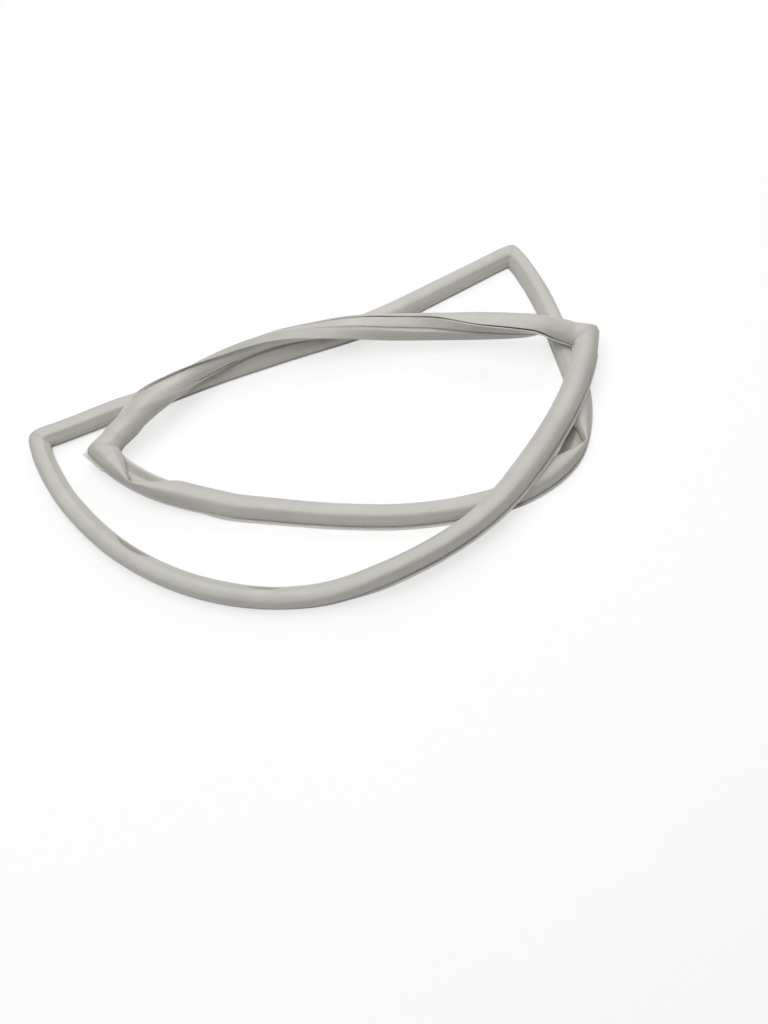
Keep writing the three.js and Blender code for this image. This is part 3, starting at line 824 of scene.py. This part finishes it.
class GasketSettings(bpy.types.PropertyGroup):
    """Sizes of the heap and of the extruded section, and how finely the mesh follows them"""

    heap_length: length_setting("Heap length", "Length that the plan points are a share of", 0.560)
    heap_depth: length_setting("Heap depth", "Depth that the plan points are a share of", 0.410)
    height: length_setting("Section height", "From the back of the section to its sealing face", 0.0176)
    base: length_setting("Base thickness", "Thickness of the flat back", 0.0016)
    base_inner: length_setting("Base reach", "From the groove side to the inner edge of the back", 0.0115)
    skin: length_setting("Skin thickness", "Wall of the hollow bulb", 0.0012)
    outer_belly: length_setting("Outer belly", "How far the bulb reaches outwards", 0.0103)
    inner_belly: length_setting("Inner belly", "How far the bulb reaches inwards", 0.0114)
    face_half: length_setting("Half face", "Half the width of the sealing face", 0.0041)
    flange: length_setting("Flange length", "Free length of the outer flange", 0.0037)
    flange_thickness: length_setting("Flange thickness", "Thickness of the outer flange", 0.0011)
    pitch: length_setting("Pitch", "Step between two stations on a plain stretch", 0.0034)
    corner_steps: bpy.props.IntProperty(name="Corner steps", description="Steps of each corner's fan",
                                        default=16, min=4, max=64)
    wall_points: bpy.props.IntProperty(name="Wall points", description="Points of each wall of the bulb",
                                       default=13, min=5, max=40)


class LookSettings(bpy.types.PropertyGroup):
    """Colours, lamps and camera"""

    vinyl: colour_setting("Vinyl", "Plain colour of the vinyl", (0.56, 0.545, 0.505))
    magnet: colour_setting("Magnet", "Plain colour of the magnet strips", (0.04, 0.038, 0.034))
    overhead: amount_setting("Overhead lamp", "Power of the softbox above the heap", 17.0, unit="POWER")
    behind: amount_setting("Rear lamp", "Power of the softbox behind the heap", 7.0, unit="POWER")
    front: amount_setting("Front lamp", "Power of the softbox at the viewer's left", 1.5, unit="POWER")
    ambient: amount_setting("Ambient", "Strength of the even light", 0.2)
    lit_share: amount_setting("Floor light share", "Share of the floor's own light that the camera sees",
                              0.42, max=1.0)
    glow: amount_setting("Floor glow", "Even light added to the floor that the camera sees", 0.66, max=1.0)
    elevation: bpy.props.FloatProperty(name="Camera elevation", description="Above the horizon",
                                       default=np.radians(64.0), subtype="ANGLE")
    distance: length_setting("Camera distance", "From the camera to the point it looks at", 1.1)
    lens: amount_setting("Lens", "Focal length in millimetres", 54.28)
    aim: bpy.props.FloatVectorProperty(name="Camera aim", default=(0.0638, -0.105, 0.0), size=3,
                                       description="Point on the floor that the camera looks at",
                                       subtype="TRANSLATION", unit="LENGTH")


# Operators


class GASKET_OT_profile(bpy.types.Operator):
    """Sweep the vinyl profile round its four strands and corners"""

    bl_idname = "gasket.profile"
    bl_label = "Build gasket profile"

    def execute(self, context):
        settings = context.scene.gasket
        size = {key: getattr(settings, key) / MM for key in (
            "height", "base", "base_inner", "skin", "outer_belly", "inner_belly", "face_half", "flange",
            "flange_thickness")}
        stations = loop_stations(settings.heap_length / MM, settings.heap_depth / MM, settings.pitch / MM,
                                 settings.corner_steps)
        outline, lip = gasket_section(stations, size, settings.wall_points)
        rings = placed(stations, handled(outline, stations, lip), size)
        low, high = (np.array(corner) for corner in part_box("gasket_profile"))
        middle = (rings.reshape(-1, 3).min(0) + rings.reshape(-1, 3).max(0)) / 2
        rings[..., :2] += ((low + high) / 2 - middle)[:2]
        masks = surface_masks(outline, stations, lip)
        piece = ring_mesh("vinyl_profile", rings, stations["walked"], masks)
        piece.data.materials.append(vinyl_material(tuple(context.scene.gasket_look.vinyl)))
        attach(piece, "root")
        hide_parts("gasket_profile")
        return {"FINISHED"}


class GASKET_OT_magnets(bpy.types.Operator):
    """Give the magnet strips in the pocket their finish"""

    bl_idname = "gasket.magnets"
    bl_label = "Finish magnet strips"

    def execute(self, context):
        material = magnet_material(tuple(context.scene.gasket_look.magnet))
        strips = [node for name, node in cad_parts.items() if name.startswith("magnet_strip")]
        if not strips:
            raise RuntimeError("the frame holds no magnet strips")
        for strip in strips:
            strip.data.materials.clear()
            strip.data.materials.append(material)
        return {"FINISHED"}


def add_softbox(name, power, place, size):
    """A square area lamp at a place, turned to the middle of the heap."""
    data = bpy.data.lights.new(name, "AREA")
    data.energy, data.shape, data.size = power, "SQUARE", size
    lamp = added(name, data)
    lamp.location = place
    lamp.rotation_euler = (-Vector(place)).to_track_quat("-Z", "Y").to_euler()


class GASKET_OT_stage(bpy.types.Operator):
    """Add the pale floor, the softboxes, the even light and the camera"""

    bl_idname = "gasket.stage"
    bl_label = "Set the stage"

    def execute(self, context):
        look = context.scene.gasket_look
        mesh = bpy.data.meshes.new("Floor")
        corners = [(x * FLOOR_HALF, y * FLOOR_HALF, 0) for x, y in ((-1, -1), (1, -1), (1, 1), (-1, 1))]
        mesh.from_pydata(corners, [], [(0, 1, 2, 3)])
        floor = added("Floor", mesh)
        floor.location.z = CAD_BOX[0].z - FLOOR_DROP
        mesh.materials.append(floor_material(look.lit_share, look.glow))

        for name, key, place, size in SOFTBOXES:
            add_softbox(name, getattr(look, key), place, size)
        world = bpy.data.worlds.new("Even light")
        world.use_nodes = True
        nodes = Nodes(world.node_tree)
        shine = nodes.add("ShaderNodeBackground", {"Color": (1.0, 1.0, 1.0, 1.0), "Strength": look.ambient})
        nodes.add("ShaderNodeOutputWorld", {"Surface": shine.outputs["Background"]})
        context.scene.world = world
        context.scene.view_settings.view_transform = "Standard"

        data = bpy.data.cameras.new("Camera")
        data.sensor_fit, data.sensor_width, data.lens = "HORIZONTAL", SENSOR_WIDTH, look.lens
        data.clip_start, data.clip_end = CAMERA_RANGE
        camera = added("Camera", data)
        back = Vector((0, -np.cos(look.elevation), np.sin(look.elevation)))
        camera.location = Vector(look.aim) + back * look.distance
        camera.rotation_euler = (np.pi / 2 - look.elevation, 0, 0)
        context.scene.camera = camera
        return {"FINISHED"}


class GASKET_PT_panel(bpy.types.Panel):
    """Sidebar panel with the sizes, the look and a button for each step"""

    bl_idname = "GASKET_PT_panel"
    bl_label = "Door gasket"
    bl_space_type = "VIEW_3D"
    bl_region_type = "UI"
    bl_category = "Gasket"

    def draw(self, context):
        for group in (context.scene.gasket, context.scene.gasket_look):
            column = self.layout.column(align=True)
            for key in group.__annotations__:
                column.prop(group, key)
        for operator in OPERATORS:
            self.layout.operator(operator.bl_idname)


OPERATORS = (GASKET_OT_profile, GASKET_OT_magnets, GASKET_OT_stage)
CLASSES = (GasketSettings, LookSettings, *OPERATORS, GASKET_PT_panel)


def register():
    for cls in CLASSES:
        bpy.utils.register_class(cls)
    bpy.types.Scene.gasket = bpy.props.PointerProperty(type=GasketSettings)
    bpy.types.Scene.gasket_look = bpy.props.PointerProperty(type=LookSettings)


def unregister():
    del bpy.types.Scene.gasket_look
    del bpy.types.Scene.gasket
    for cls in reversed(CLASSES):
        bpy.utils.unregister_class(cls)


def main():
    register()
    for operator in OPERATORS:
        group, name = operator.bl_idname.split(".")
        if getattr(getattr(bpy.ops, group), name)() != {"FINISHED"}:
            raise RuntimeError(f"{operator.bl_label} did not finish")


if __name__ == "__main__":
    main()
